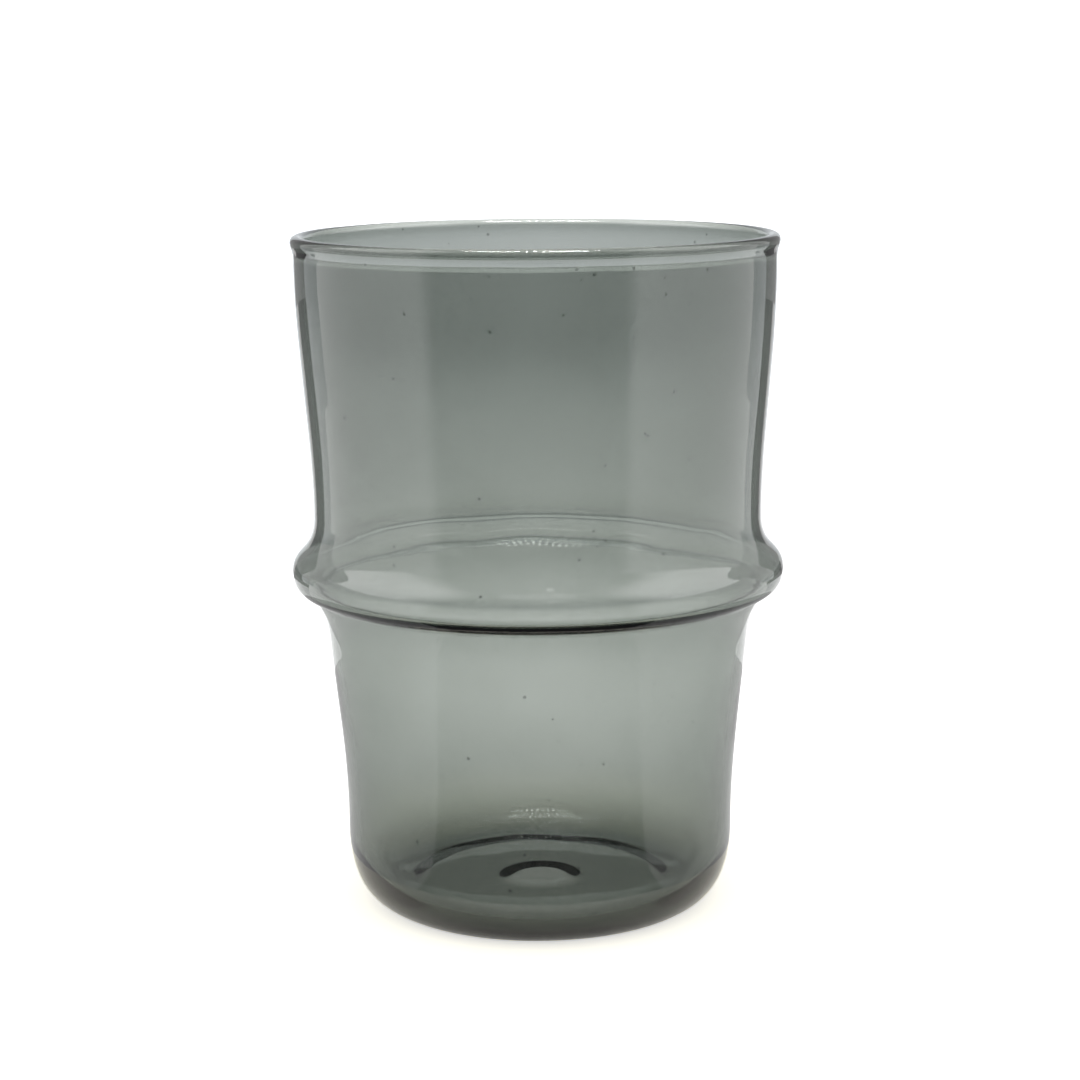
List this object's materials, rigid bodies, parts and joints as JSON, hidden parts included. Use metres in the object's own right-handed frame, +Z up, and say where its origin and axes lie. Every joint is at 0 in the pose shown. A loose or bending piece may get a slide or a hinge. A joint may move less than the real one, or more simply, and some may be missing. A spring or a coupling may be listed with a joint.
{
  "type": "cortado glass",
  "caption": "Small stemless tumbler of thin tinted glass with a rounded lip, a hollow ring round its middle and a narrower lower body, for short coffee drinks.",
  "frame": {"origin": "centre of the foot, on the plane that the glass stands on", "axes": "+Z up along the axis of the glass, through the middle of its mouth; X and Y are equal, because the glass is round"},
  "size_m": [0.0636, 0.0636, 0.0869],
  "materials": {
    "smoke_glass": "clear smoke grey blown glass with a slight green tint, fire-polished gloss"
  },
  "bodies": {
    "root": {"lip": "smoke_glass", "upper_wall": "smoke_glass", "ring": "smoke_glass", "lower_wall": "smoke_glass", "heel": "smoke_glass", "base": "smoke_glass"}
  },
  "joints": []
}
